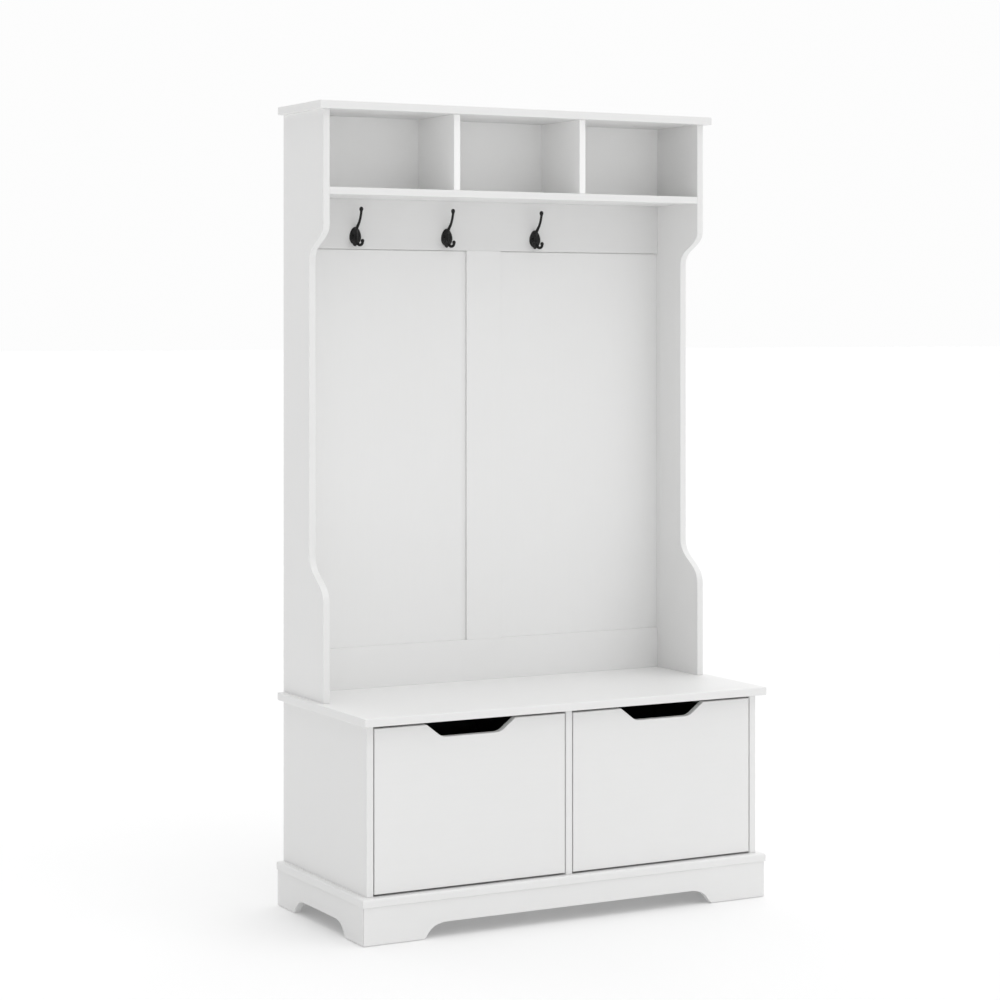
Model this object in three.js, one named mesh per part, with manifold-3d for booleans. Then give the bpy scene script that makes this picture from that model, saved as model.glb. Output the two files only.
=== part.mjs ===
// Hall tree: a bench with two drawers on a bracket-foot plinth, and above it a panelled back with
// a row of coat hooks and three open cubbies. Millimetres, +Z up, front towards -Y, origin at the
// bottom centre of the whole object.
import * as THREE from "three";
import { mergeVertices } from "three/addons/utils/BufferGeometryUtils.js";
import Module from "manifold-3d";

const wasm = await Module();
wasm.setup();

// ---------------------------------------------------------------- driving dimensions
const CARCASS_WIDTH = 986; // over the outer faces of the sides, bench and upper part alike
const BASE_DEPTH = 436; // rear edge to the front edges of the base sides
const UPPER_DEPTH = 216; // rear edge to the front edges of the upper sides
const WAIST_DEPTH = 141; // depth of the upper sides where they are cut back
const BOARD = 16; // sides, dividers, shelf, rails, skirts, drawer fronts
const HEAVY_BOARD = 18; // top, bench and plinth board
const THIN_BOARD = 12; // drawer box boards
const PANEL = 6; // backs and drawer bottoms

const GLIDE_HEIGHT = 1.5;
const GLIDE_RADIUS = 7;
const SKIRT_HEIGHT = 80.5; // above the glides
const BASE_OPENING_HEIGHT = 363; // plinth board to the underside of the bench
const UPPER_HEIGHT = 1301; // bench to the underside of the top
const CUBBY_HEIGHT = 170; // clear height over the shelf
const CUBBY_PITCH = 326; // centre to centre of the two cubby dividers

const TOP_OVERHANG_SIDE = 14;
const TOP_OVERHANG_FRONT = 16;
const BENCH_OVERHANG_SIDE = 15;
const BENCH_OVERHANG_FRONT = 24;
const PLINTH_OVERHANG = 17;
const SKIRT_OVERHANG = 14;
const PLINTH_ROUND = 6; // radius of the plinth board's upper edge

const BACK_FRAME_INSET = 22; // rear edges of the sides to the rear of the back frame
const PANEL_RECESS = 6; // back frame face to the face of its panels
const HOOK_RAIL_HEIGHT = 114;
const LOWER_RAIL_HEIGHT = 95;
const STILE_WIDTH = 90;
const GROOVE_DEPTH = 8;
const GROOVE_CLEARANCE = 0.5;
const SHADOW_GAP = 1.6; // hook rail to the upper shoulders of the panels

const UPPER_SWEEP_DROP = 66; // underside of the shelf to where the upper sides start to sweep back
const UPPER_SWEEP_HEIGHT = 76;
const LOWER_SWEEP_START = 216; // top of the bench to the start of the lower sweep
const LOWER_SWEEP_HEIGHT = 103;
const SWEEP_STEPS = 20; // straight steps in each sweep

const ARCH_HEIGHT = 32; // skirt cut-outs, above the feet
const ARCH_SWEEP = 58; // run of the ogee at each end of a cut-out
const ARCH_EASE = 10.5; // how far an ogee's steep middle lies from the foot
const ARCH_STEPS = 14; // straight steps in each ogee
const FRONT_FOOT_WIDTH = 142;
const SIDE_FOOT_WIDTH = 88;
const REAR_SKIRT_LIFT = 10; // the rear skirt stays clear of the floor
const MITRE_GAP = 0.3;
const GLIDE_INSET = 40; // glide centres from the outer faces of the skirt

const BASE_BACK_INSET = 10;
const DRAWER_SIDE_GAP = 2.5; // drawer front to the boards beside it
const DRAWER_LOWER_GAP = 4.5; // plinth board to the drawer front
const DRAWER_UPPER_GAP = 8; // drawer front to the underside of the bench
const DRAWER_BOX_LIFT = 12; // plinth board to the drawer box
const DRAWER_HEADROOM = 43; // drawer box to the underside of the bench
const DRAWER_REAR_CLEARANCE = 34; // drawer box to the base back
const DRAWER_BOTTOM_LIFT = 6; // underside of the drawer box to its bottom panel
const HANDLE_TOP_WIDTH = 216;
const HANDLE_BOTTOM_WIDTH = 142;
const HANDLE_DEPTH = 28.5;
const HANDLE_RADIUS = 11;

const SLIDE_GAP = 12.5; // drawer box to cabinet, each side
const SLIDE_SETBACK = 4; // drawer front's rear face to the slide's end
const SLIDE_END_GAP = 16; // slide's other end to the rear of the drawer box
const SLIDE_HEIGHT = 110; // slide's centre line above the plinth board
const SLIDE_STEEL = 1.25;
const SLIDE_CABINET_HEIGHT = 45;
const SLIDE_BALL_SPACE = 3.25; // between one member's lip and the next
const SLIDE_RUNNING_CLEARANCE = 0.5;

const HOOK_FIRST_X = -332;
const HOOK_PITCH = 234;
const HOOK_COUNT = 3;
const HOOK_RISE = 30; // rail's lower edge to the centre of a hook plate
const PLATE_HALF_WIDTH = 14.75;
const PLATE_HALF_HEIGHT = 20.5;
const PLATE_BULGE = 7;
const SPINE_HALF_WIDTH = 5.5;
const SPINE_HALF_HEIGHT = 19;
const SPINE_BULGE = 9.5;
const LONG_PRONG_RADIUS = 2.4;
const LONG_TIP_RADIUS = 4.2;
const SHORT_PRONG_RADIUS = 2.4;
const SHORT_TIP_RADIUS = 3.3;
const HOOK_REACH = 100; // longer than a hook is in any direction
const SCREW_SPREAD = 9; // hook centre line to a screw
const SCREW_SEAT = 2.5; // plate left under a screw head
const SCREW_HEAD_RADIUS = 3;
const SCREW_HEAD_HEIGHT = 2;
const SCREW_SHANK_RADIUS = 1.75;
const SCREW_BITE = 12; // shank inside the rail
const SCREW_CLEARANCE = 0.3;

const BRACKET_LEG = 20;
const BRACKET_WIDTH = 40;
const BRACKET_STEEL = 2;
const BRACKET_HOLE_RADIUS = 3;

// ---------------------------------------------------------------- planes worked out from them
const rear = (BASE_DEPTH + BENCH_OVERHANG_FRONT) / 2;
const baseFront = rear - BASE_DEPTH;
const upperFront = rear - UPPER_DEPTH;
const waistFront = rear - WAIST_DEPTH;
const frameRear = rear - BACK_FRAME_INSET;
const frameFront = frameRear - BOARD;
const panelFront = frameFront + PANEL_RECESS;
const outer = CARCASS_WIDTH / 2;
const inner = outer - BOARD;

const skirtTop = GLIDE_HEIGHT + SKIRT_HEIGHT;
const plinthTop = skirtTop + HEAVY_BOARD;
const benchUnder = plinthTop + BASE_OPENING_HEIGHT;
const benchTop = benchUnder + HEAVY_BOARD;
const topUnder = benchTop + UPPER_HEIGHT;
const shelfTop = topUnder - CUBBY_HEIGHT;
const shelfUnder = shelfTop - BOARD;
const hookRailUnder = shelfUnder - HOOK_RAIL_HEIGHT;
const lowerRailTop = benchTop + LOWER_RAIL_HEIGHT;

const baseBackRear = rear - BASE_BACK_INSET;
const baseBackFront = baseBackRear - PANEL;
const boxFront = baseFront + BOARD; // drawer boxes meet the back of the drawer fronts
const boxRear = baseBackFront - DRAWER_REAR_CLEARANCE;

// ---------------------------------------------------------------- finishes
const paint = new THREE.MeshStandardMaterial({ color: 0xe9e9e7, roughness: 0.42, metalness: 0 });
const lining = new THREE.MeshStandardMaterial({ color: 0x1b1b1c, roughness: 0.7, metalness: 0 });
const iron = new THREE.MeshStandardMaterial({ color: 0x1d1d1e, roughness: 0.5, metalness: 0.6 });
const steel = new THREE.MeshStandardMaterial({ color: 0xa9adb0, roughness: 0.35, metalness: 1 });
const nylon = new THREE.MeshStandardMaterial({ color: 0xe2e2df, roughness: 0.6, metalness: 0 });

const hallTree = new THREE.Group();

// ---------------------------------------------------------------- helpers
const GRID = 64; // faces that meet share one value when every coordinate is a whole 1/64 mm
const snap = (value) => Math.round(value * GRID) / GRID;

function place(name, geometry, material, parent = hallTree) {
  const mesh = new THREE.Mesh(geometry, material);
  mesh.name = name;
  parent.add(mesh);
  return mesh;
}

// A board between two opposite corners.
function board(name, [x0, x1], [y0, y1], [z0, z1], material = paint, parent = hallTree) {
  const low = [x0, y0, z0].map(snap);
  const high = [x1, y1, z1].map(snap);
  const size = high.map((value, axis) => value - low[axis]);
  const mesh = place(name, new THREE.BoxGeometry(...size), material, parent);
  mesh.position.set(...high.map((value, axis) => (value + low[axis]) / 2));
  return mesh;
}

// Extrudes an outline drawn in (Y, Z) along X from x0 to x1.
function extrudeAlongX(shape, x0, x1, curveSegments = 8) {
  const depth = snap(x1) - snap(x0);
  const geometry = new THREE.ExtrudeGeometry(shape, { depth, bevelEnabled: false, curveSegments });
  const turn = new THREE.Matrix4().makeBasis(
    new THREE.Vector3(0, 1, 0),
    new THREE.Vector3(0, 0, 1),
    new THREE.Vector3(1, 0, 0),
  );
  return geometry.applyMatrix4(turn).translate(snap(x0), 0, 0);
}

// Extrudes an outline drawn in (X, Z) along Y from y0 to y1.
function extrudeAlongY(shape, y0, y1, curveSegments = 8) {
  const depth = snap(y1) - snap(y0);
  const geometry = new THREE.ExtrudeGeometry(shape, { depth, bevelEnabled: false, curveSegments });
  const turn = new THREE.Matrix4().makeBasis(
    new THREE.Vector3(1, 0, 0),
    new THREE.Vector3(0, 0, 1),
    new THREE.Vector3(0, -1, 0),
  );
  return geometry.applyMatrix4(turn).translate(0, snap(y1), 0);
}

function outline(points) {
  return new THREE.Shape(points.map(([u, v]) => new THREE.Vector2(snap(u), snap(v))));
}

function solid(geometry) {
  const bare = geometry.clone();
  bare.deleteAttribute("normal");
  bare.deleteAttribute("uv");
  const merged = mergeVertices(bare, 1e-4);
  return new wasm.Manifold(
    new wasm.Mesh({
      numProp: 3,
      vertProperties: new Float32Array(merged.attributes.position.array),
      triVerts: new Uint32Array(merged.index.array),
    }),
  );
}

function geometryOf(body) {
  const { vertProperties, triVerts } = body.getMesh();
  const geometry = new THREE.BufferGeometry();
  geometry.setAttribute("position", new THREE.BufferAttribute(vertProperties, 3));
  geometry.setIndex(new THREE.BufferAttribute(triVerts, 1));
  const faceted = geometry.toNonIndexed();
  faceted.computeVertexNormals();
  return faceted;
}

// A cylinder whose axis runs along Y from y0 to y1.
function barAlongY(radius, x, [y0, y1], z, sides = 12) {
  return new THREE.CylinderGeometry(radius, radius, y1 - y0, sides).translate(x, (y0 + y1) / 2, z);
}

function box([x0, x1], [y0, y1], [z0, z1]) {
  const geometry = new THREE.BoxGeometry(x1 - x0, y1 - y0, z1 - z0);
  return solid(geometry.translate((x0 + x1) / 2, (y0 + y1) / 2, (z0 + z1) / 2));
}

// ---------------------------------------------------------------- upper part
function upperSide(name, x0, x1) {
  const sweepTop = shelfUnder - UPPER_SWEEP_DROP;
  const waistTop = sweepTop - UPPER_SWEEP_HEIGHT;
  const sweepBottom = benchTop + LOWER_SWEEP_START;
  const waistBottom = sweepBottom + LOWER_SWEEP_HEIGHT;
  const shape = new THREE.Shape();
  shape.moveTo(snap(rear), snap(benchTop));
  shape.lineTo(snap(rear), snap(topUnder));
  shape.lineTo(snap(upperFront), snap(topUnder));
  shape.lineTo(snap(upperFront), sweepTop);
  sweep(shape, [upperFront, sweepTop], [waistFront, waistTop]);
  shape.lineTo(waistFront, waistBottom);
  sweep(shape, [waistFront, waistBottom], [upperFront, sweepBottom]);
  shape.lineTo(snap(upperFront), snap(benchTop));
  place(name, extrudeAlongX(shape, x0, x1, SWEEP_STEPS), paint);
}

// An S between two upright edges.
function sweep(shape, [y0, z0], [y1, z1]) {
  const middle = (z0 + z1) / 2;
  shape.bezierCurveTo(y0, middle, y1, middle, y1, z1);
}

function upperPart() {
  const topSide = outer + TOP_OVERHANG_SIDE;
  const topEdge = upperFront - TOP_OVERHANG_FRONT;
  board("top_panel", [-topSide, topSide], [topEdge, rear], [topUnder, topUnder + HEAVY_BOARD]);
  upperSide("upper_side_left", -outer, -inner);
  upperSide("upper_side_right", inner, outer);
  board("cubby_shelf", [-inner, inner], [upperFront, frameRear], [shelfUnder, shelfTop]);
  const cubbyBackRear = frameFront + PANEL;
  board("cubby_back", [-inner, inner], [frameFront, cubbyBackRear], [shelfTop, topUnder]);
  const dividers = { cubby_divider_left: -CUBBY_PITCH / 2, cubby_divider_right: CUBBY_PITCH / 2 };
  for (const [name, x] of Object.entries(dividers))
    board(name, [x - BOARD / 2, x + BOARD / 2], [upperFront, frameFront], [shelfTop, topUnder]);
}

// ---------------------------------------------------------------- framed back
// The rails and the stile are grooved, and the two panels stand in the grooves.
const grooveFront = panelFront - GROOVE_CLEARANCE / 2;
const grooveRear = panelFront + PANEL + GROOVE_CLEARANCE / 2;
const panelTongue = GROOVE_DEPTH - GROOVE_CLEARANCE;
const shoulderRear = panelFront + PANEL / 2; // the upper tongues are half as thick as the panels

function groovedRail(grooveEdge, plainEdge, front) {
  const grooveFloor = grooveEdge + Math.sign(plainEdge - grooveEdge) * GROOVE_DEPTH;
  const section = [
    [frameFront, plainEdge],
    [frameFront, grooveEdge],
    [front, grooveEdge],
    [front, grooveFloor],
    [grooveRear, grooveFloor],
    [grooveRear, grooveEdge],
    [frameRear, grooveEdge],
    [frameRear, plainEdge],
  ];
  return extrudeAlongX(outline(section), -inner, inner);
}

function centreStile() {
  const half = STILE_WIDTH / 2;
  const side = (sign) => [
    [sign * half, frameFront],
    [sign * half, grooveFront],
    [sign * (half - GROOVE_DEPTH), grooveFront],
    [sign * (half - GROOVE_DEPTH), grooveRear],
    [sign * half, grooveRear],
    [sign * half, frameRear],
  ];
  const section = outline([...side(1), ...side(-1).reverse()]);
  const depth = snap(hookRailUnder) - snap(lowerRailTop);
  const geometry = new THREE.ExtrudeGeometry(section, { depth, bevelEnabled: false });
  place("centre_stile", geometry.translate(0, 0, snap(lowerRailTop)), paint);
}

function framedBack() {
  const rail = solid(groovedRail(hookRailUnder, shelfUnder, shoulderRear - GROOVE_CLEARANCE / 2));
  const bores = hookPlaces().flatMap((x) =>
    [-SCREW_SPREAD, SCREW_SPREAD].map((dx) =>
      solid(
        barAlongY(
          SCREW_SHANK_RADIUS + SCREW_CLEARANCE,
          x + dx,
          [frameFront - 1, frameFront + SCREW_BITE + SCREW_CLEARANCE],
          hookRailUnder + HOOK_RISE,
        ),
      ),
    ),
  );
  place("hook_rail", geometryOf(bores.reduce((body, bore) => body.subtract(bore), rail)), paint);
  place("lower_rail", groovedRail(lowerRailTop, benchTop, grooveFront), paint);
  centreStile();
  const stileFace = STILE_WIDTH / 2 - panelTongue;
  backPanel("back_panel_left", -inner, -stileFace);
  backPanel("back_panel_right", stileFace, inner);
}

// A panel whose upper edge is rebated at the front, which leaves a shadow gap under the hook rail.
function backPanel(name, x0, x1) {
  const low = lowerRailTop - panelTongue;
  const shoulder = hookRailUnder - SHADOW_GAP;
  const high = hookRailUnder + panelTongue;
  const section = outline([
    [panelFront, low],
    [panelFront, shoulder],
    [shoulderRear, shoulder],
    [shoulderRear, high],
    [panelFront + PANEL, high],
    [panelFront + PANEL, low],
  ]);
  place(name, extrudeAlongX(section, x0, x1), paint);
}

// ---------------------------------------------------------------- coat hooks
function hookPlaces() {
  return Array.from({ length: HOOK_COUNT }, (_, index) => HOOK_FIRST_X + index * HOOK_PITCH);
}

function ellipsoid(halfX, halfY, halfZ, around, down) {
  const geometry = new THREE.SphereGeometry(1, around, down).rotateX(Math.PI / 2);
  return solid(geometry.scale(halfX, halfY, halfZ));
}

function ball(radius, [x, y, z]) {
  return solid(new THREE.SphereGeometry(radius, 10, 7).translate(x, y, z));
}

function prong(radius, points, steps) {
  const path = new THREE.CatmullRomCurve3(points.map((point) => new THREE.Vector3(...point)));
  const section = new THREE.Shape().absarc(0, 0, radius, 0, Math.PI * 2, false);
  const options = { steps, extrudePath: path, curveSegments: 4 };
  return solid(new THREE.ExtrudeGeometry(section, options));
}

// A hook about the centre of the back of its plate: a domed plate with a spine, one long prong up
// and forward, and two short ones that curl out to the sides from the foot of the spine.
function hookBody() {
  const tip = [0, -32.5, 60];
  const longPath = [[0, -3, 14], [0, -10, 20], [0, -20.5, 29.5], [0, -28, 41], tip];
  const parts = [
    ellipsoid(SPINE_HALF_WIDTH, SPINE_BULGE, SPINE_HALF_HEIGHT, 10, 8),
    prong(LONG_PRONG_RADIUS, longPath, 10),
    ball(LONG_TIP_RADIUS, tip),
  ];
  for (const side of [-1, 1]) {
    const curl = [side * 11.5, -15.5, -9.5];
    const bend = [side * 8.5, -13.5, -21];
    const path = [[0, -5, -12], [side * 3.5, -9.5, -20], bend, [side * 11.5, -15.5, -16], curl];
    parts.push(prong(SHORT_PRONG_RADIUS, path, 8), ball(SHORT_TIP_RADIUS, curl));
  }
  let body = ellipsoid(PLATE_HALF_WIDTH, PLATE_BULGE, PLATE_HALF_HEIGHT, 20, 10);
  for (const part of parts) body = body.add(part);
  const reach = [-HOOK_REACH, HOOK_REACH];
  body = body.subtract(box(reach, [0, HOOK_REACH], reach));
  for (const x of [-SCREW_SPREAD, SCREW_SPREAD]) {
    const shank = barAlongY(SCREW_SHANK_RADIUS + SCREW_CLEARANCE, x, reach, 0);
    const seat = [-HOOK_REACH, -SCREW_SEAT];
    const head = barAlongY(SCREW_HEAD_RADIUS + SCREW_CLEARANCE, x, seat, 0);
    body = body.subtract(solid(shank)).subtract(solid(head));
  }
  return geometryOf(body);
}

// A hook screw, its head towards the front and its shank towards the rail.
function screwGeometry() {
  const profile = [
    [0, -SCREW_BITE],
    [SCREW_SHANK_RADIUS, -SCREW_BITE],
    [SCREW_SHANK_RADIUS, SCREW_SEAT],
    [SCREW_HEAD_RADIUS, SCREW_SEAT],
    [SCREW_HEAD_RADIUS, SCREW_SEAT + SCREW_HEAD_HEIGHT / 2],
    [0, SCREW_SEAT + SCREW_HEAD_HEIGHT],
  ];
  const points = profile.map(([radius, height]) => new THREE.Vector2(radius, height));
  return new THREE.LatheGeometry(points, 10).rotateX(Math.PI);
}

function coatHooks() {
  const hook = hookBody();
  const screw = screwGeometry();
  hookPlaces().forEach((x, index) => {
    const group = new THREE.Group();
    group.position.set(x, snap(frameFront), snap(hookRailUnder + HOOK_RISE));
    hallTree.add(group);
    place(`coat_hook_${index + 1}`, hook, iron, group);
    const sides = { left: -SCREW_SPREAD, right: SCREW_SPREAD };
    for (const [side, dx] of Object.entries(sides)) {
      const mesh = place(`hook_${index + 1}_screw_${side}`, screw, iron, group);
      mesh.position.x = dx;
    }
  });
}

// ---------------------------------------------------------------- bench and base
// A board with its upper front and side edges rounded over.
function roundedBoard(name, halfWidth, [front, back], [low, high], radius) {
  const arc = (centreU, centreV, from, to) =>
    Array.from({ length: 5 }, (_, step) => {
      const angle = from + ((to - from) * step) / 4;
      return [centreU + radius * Math.cos(angle), centreV + radius * Math.sin(angle)];
    });
  const v = high - radius;
  const across = outline([
    [-halfWidth, low],
    [halfWidth, low],
    ...arc(halfWidth - radius, v, 0, Math.PI / 2),
    ...arc(radius - halfWidth, v, Math.PI / 2, Math.PI),
  ]);
  const along = outline([
    [back, low],
    [back, high],
    ...arc(front + radius, v, Math.PI / 2, Math.PI),
    [front, low],
  ]);
  const body = solid(extrudeAlongY(across, front, back));
  const trim = solid(extrudeAlongX(along, -halfWidth, halfWidth));
  place(name, geometryOf(body.intersect(trim)), paint);
}

function baseCarcass() {
  const benchSide = outer + BENCH_OVERHANG_SIDE;
  const benchEdge = baseFront - BENCH_OVERHANG_FRONT;
  board("bench_top", [-benchSide, benchSide], [benchEdge, rear], [benchUnder, benchTop]);
  const height = [plinthTop, benchUnder];
  board("base_side_left", [-outer, -inner], [baseFront, rear], height);
  board("base_side_right", [inner, outer], [baseFront, rear], height);
  board("base_divider", [-BOARD / 2, BOARD / 2], [baseFront, baseBackFront], height);
  board("base_back", [-inner, inner], [baseBackFront, baseBackRear], height);
  const plinthSide = outer + PLINTH_OVERHANG;
  const plinthEdge = baseFront - PLINTH_OVERHANG;
  roundedBoard("plinth_board", plinthSide, [plinthEdge, rear], [skirtTop, plinthTop], PLINTH_ROUND);
}

// ---------------------------------------------------------------- skirt with bracket feet
// The outline of a skirt from u0 to u1 with an ogee-ended cut-out between its feet.
function skirtOutline(u0, u1, firstFoot, lastFoot) {
  const low = snap(GLIDE_HEIGHT);
  const high = snap(skirtTop);
  const roof = low + ARCH_HEIGHT;
  const archStart = u0 + firstFoot;
  const archEnd = u1 - lastFoot;
  const shape = new THREE.Shape();
  shape.moveTo(snap(u0), low);
  shape.lineTo(archStart, low);
  const firstEase = archStart + ARCH_EASE;
  const lastEase = archEnd - ARCH_EASE;
  shape.bezierCurveTo(firstEase, low, firstEase, roof, archStart + ARCH_SWEEP, roof);
  shape.lineTo(archEnd - ARCH_SWEEP, roof);
  shape.bezierCurveTo(lastEase, roof, lastEase, low, archEnd, low);
  shape.lineTo(snap(u1), low);
  shape.lineTo(snap(u1), high);
  shape.lineTo(snap(u0), high);
  return shape;
}

// Removes what lies past the mitre at a front corner; towards is +1 to keep the front skirt.
function mitreCutter(side, towards) {
  const reach = 200;
  const cornerX = side * (outer + SKIRT_OVERHANG);
  const cornerY = baseFront - SKIRT_OVERHANG;
  const slab = new THREE.BoxGeometry(2 * reach, reach, 2 * reach);
  slab.translate(0, (towards * (reach - MITRE_GAP)) / 2, 0);
  slab.rotateZ((-side * Math.PI) / 4);
  return solid(slab.translate(cornerX, cornerY, 0));
}

function skirt() {
  const skirtOuter = outer + SKIRT_OVERHANG;
  const skirtInner = skirtOuter - BOARD;
  const front = baseFront - SKIRT_OVERHANG;
  const frontShape = skirtOutline(-skirtOuter, skirtOuter, FRONT_FOOT_WIDTH, FRONT_FOOT_WIDTH);
  let frontBody = solid(extrudeAlongY(frontShape, front, front + BOARD, ARCH_STEPS));
  for (const side of [-1, 1]) frontBody = frontBody.subtract(mitreCutter(side, 1));
  place("skirt_front", geometryOf(frontBody), paint);

  const sideShape = skirtOutline(front, rear, SIDE_FOOT_WIDTH, SIDE_FOOT_WIDTH);
  const sides = { left: [-1, -skirtOuter, -skirtInner], right: [1, skirtInner, skirtOuter] };
  for (const [name, [side, x0, x1]] of Object.entries(sides)) {
    const body = solid(extrudeAlongX(sideShape, x0, x1, ARCH_STEPS)).subtract(mitreCutter(side, -1));
    place(`skirt_${name}`, geometryOf(body), paint);
  }
  const lift = GLIDE_HEIGHT + REAR_SKIRT_LIFT;
  board("skirt_back", [-skirtInner, skirtInner], [rear - BOARD, rear], [lift, skirtTop]);
}

function glides() {
  const skirtOuter = outer + SKIRT_OVERHANG;
  const frontLine = baseFront - SKIRT_OVERHANG + BOARD / 2;
  const sideLine = skirtOuter - BOARD / 2;
  const places = {
    front_left: [GLIDE_INSET - skirtOuter, frontLine],
    front_right: [skirtOuter - GLIDE_INSET, frontLine],
    rear_left: [-sideLine, rear - GLIDE_INSET],
    rear_right: [sideLine, rear - GLIDE_INSET],
  };
  for (const [name, [x, y]] of Object.entries(places)) {
    const height = snap(GLIDE_HEIGHT);
    const disc = new THREE.CylinderGeometry(GLIDE_RADIUS, GLIDE_RADIUS - 1, height, 20);
    const mesh = place(`glide_${name}`, disc.rotateX(Math.PI / 2), nylon);
    mesh.position.set(x, y, height / 2);
  }
}

// ---------------------------------------------------------------- drawers
function drawerFront(name, [x0, x1], parent) {
  const low = plinthTop + DRAWER_LOWER_GAP;
  const high = benchUnder - DRAWER_UPPER_GAP;
  const middle = (x0 + x1) / 2;
  const shape = new THREE.Shape();
  shape.moveTo(snap(x0), snap(low));
  shape.lineTo(snap(x1), snap(low));
  shape.lineTo(snap(x1), snap(high));
  handleCutout(shape, middle, high);
  shape.lineTo(snap(x0), snap(high));
  const geometry = extrudeAlongY(shape, baseFront, baseFront + BOARD, 5);
  place(name, geometry, paint, parent);
}

// The finger cut-out: a trapezium open at the top edge with its lower corners rounded.
function handleCutout(shape, middle, high) {
  const floor = high - HANDLE_DEPTH;
  const slope = new THREE.Vector2(HANDLE_TOP_WIDTH - HANDLE_BOTTOM_WIDTH, 2 * HANDLE_DEPTH).normalize();
  const topHalf = HANDLE_TOP_WIDTH / 2;
  const bottomHalf = HANDLE_BOTTOM_WIDTH / 2;
  const rise = HANDLE_RADIUS * slope.y;
  const run = HANDLE_RADIUS * slope.x;
  shape.lineTo(middle + topHalf, snap(high));
  shape.lineTo(middle + bottomHalf + run, floor + rise);
  shape.quadraticCurveTo(middle + bottomHalf, floor, middle + bottomHalf - HANDLE_RADIUS, floor);
  shape.lineTo(middle - bottomHalf + HANDLE_RADIUS, floor);
  shape.quadraticCurveTo(middle - bottomHalf, floor, middle - bottomHalf - run, floor + rise);
  shape.lineTo(middle - topHalf, snap(high));
}

// One drawer and its pair of slides, in the opening from x0 to x1.
function drawer(side, [x0, x1]) {
  const group = new THREE.Group();
  hallTree.add(group);
  drawerFront(`${side}_drawer_front`, [x0 + DRAWER_SIDE_GAP, x1 - DRAWER_SIDE_GAP], group);
  const boxLow = plinthTop + DRAWER_BOX_LIFT;
  const boxHigh = benchUnder - DRAWER_HEADROOM;
  const left = x0 + SLIDE_GAP;
  const right = x1 - SLIDE_GAP;
  const insideLeft = left + THIN_BOARD;
  const insideRight = right - THIN_BOARD;
  const length = [boxFront, boxRear];
  const height = [boxLow, boxHigh];
  board(`${side}_drawer_side_left`, [left, insideLeft], length, height, lining, group);
  board(`${side}_drawer_side_right`, [insideRight, right], length, height, lining, group);
  const bottomLow = boxLow + DRAWER_BOTTOM_LIFT;
  const bottomHigh = bottomLow + PANEL;
  const inside = [insideLeft, insideRight];
  board(`${side}_drawer_bottom`, inside, length, [bottomLow, bottomHigh], lining, group);
  const backDepth = [boxRear - THIN_BOARD, boxRear];
  board(`${side}_drawer_back`, inside, backDepth, [bottomHigh, boxHigh], lining, group);
  slide(`${side}_slide_left`, x0, 1);
  slide(`${side}_slide_right`, x1, -1);
}

// A three-member ball slide: cabinet channel, middle channel and drawer channel, one inside the
// other. u runs from the cabinet face towards the drawer, v up from the slide's centre line.
function slide(name, cabinetFace, towards) {
  const zero = plinthTop + SLIDE_HEIGHT;
  const span = [boxFront + SLIDE_SETBACK, boxRear - SLIDE_END_GAP];
  const t = SLIDE_STEEL;
  const cabinetHalf = SLIDE_CABINET_HEIGHT / 2;
  const middleHalf = cabinetHalf - t - SLIDE_BALL_SPACE;
  const drawerHalf = middleHalf - t - SLIDE_BALL_SPACE;
  const ballSpan = SLIDE_BALL_SPACE - SLIDE_RUNNING_CLEARANCE;
  const lip = SLIDE_GAP - 2;
  const sections = {
    cabinet_member: channel(0, t, lip, cabinetHalf),
    middle_member: middleChannel(2 * t, lip, middleHalf, ballSpan),
    drawer_member: channel(SLIDE_GAP, SLIDE_GAP - t, SLIDE_GAP / 2, drawerHalf),
  };
  for (const [member, section] of Object.entries(sections)) {
    const points = section.map(([u, v]) => [cabinetFace + towards * u, zero + v]);
    const geometry = extrudeAlongY(outline(points), ...span);
    place(`${name}_${member}`, geometry, steel);
  }
}

// A channel with its web between webFace and webInner and its lips reaching to lipEnd.
function channel(webFace, webInner, lipEnd, half) {
  const inside = half - SLIDE_STEEL;
  return [
    [webFace, -half],
    [lipEnd, -half],
    [lipEnd, -inside],
    [webInner, -inside],
    [webInner, inside],
    [lipEnd, inside],
    [lipEnd, half],
    [webFace, half],
  ];
}

// The middle channel carries its ball races as a bead above and below each lip.
function middleChannel(webFace, lipEnd, half, ballSpan) {
  const inside = half - SLIDE_STEEL;
  const webInner = webFace + SLIDE_STEEL;
  const bead = [webInner + SLIDE_STEEL, lipEnd - SLIDE_STEEL];
  const upper = [
    [webInner, inside],
    [bead[0] + SLIDE_STEEL, inside],
    [bead[0] + SLIDE_STEEL, inside - ballSpan],
    [bead[1], inside - ballSpan],
    [bead[1], inside],
    [lipEnd, inside],
    [lipEnd, half],
    [bead[1], half],
    [bead[1], half + ballSpan],
    [bead[0], half + ballSpan],
    [bead[0], half],
    [webFace, half],
  ];
  const lower = upper.map(([u, v]) => [u, -v]).reverse();
  return [...lower, ...upper];
}

// ---------------------------------------------------------------- wall bracket
// An angle under the back of the top, with a hole for the wall screw.
function wallBracket() {
  const half = BRACKET_WIDTH / 2;
  const high = snap(topUnder);
  const y1 = snap(rear);
  const leg = box([-half, half], [y1 - BRACKET_STEEL, y1], [high - BRACKET_LEG, high]);
  const foot = box([-half, half], [y1 - BRACKET_LEG, y1], [high - BRACKET_STEEL, high]);
  const holeHeight = high - BRACKET_LEG / 2;
  const hole = barAlongY(BRACKET_HOLE_RADIUS, 0, [y1 - BRACKET_LEG, y1 + BRACKET_STEEL], holeHeight);
  place("wall_bracket", geometryOf(leg.add(foot).subtract(solid(hole))), steel);
}

upperPart();
framedBack();
coatHooks();
baseCarcass();
skirt();
glides();
drawer("left", [-inner, -BOARD / 2]);
drawer("right", [BOARD / 2, inner]);
wallBracket();

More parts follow.
